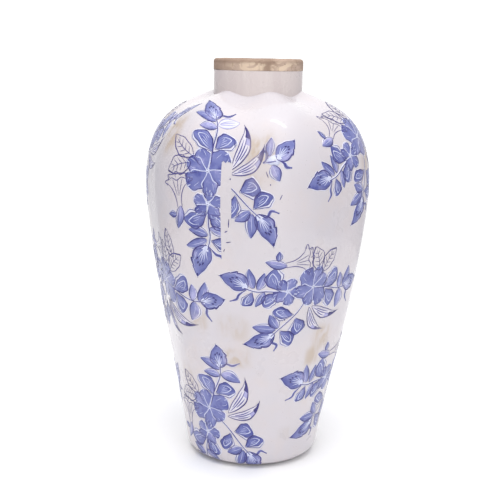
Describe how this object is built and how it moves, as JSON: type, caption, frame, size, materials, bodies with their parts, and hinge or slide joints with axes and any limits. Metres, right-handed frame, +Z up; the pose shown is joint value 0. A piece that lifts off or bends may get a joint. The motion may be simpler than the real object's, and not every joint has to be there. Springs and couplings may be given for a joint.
{
  "type": "pottery vase",
  "caption": "Tall lobed baluster vase with a plain neck and a bare clay rim band, glazed white with a blue floral pattern.",
  "frame": {"origin": "middle of the foot ring's underside, on the vase's axis", "axes": "+Z up along the vase's axis, -Y towards the front, +X to the right as seen from the front"},
  "size_m": [0.2226, 0.2204, 0.4],
  "materials": {
    "body_glaze": "gloss",
    "neck_glaze": "satin",
    "inner_glaze": "gloss",
    "rim_clay": "matte",
    "foot_clay": "matte"
  },
  "bodies": {
    "root": {"foot_ring": "foot_clay", "base_floor": "inner_glaze", "lower_wall": "body_glaze", "shoulder_wall": "body_glaze", "neck_collar": "neck_glaze", "rim_band": "rim_clay"}
  },
  "joints": []
}
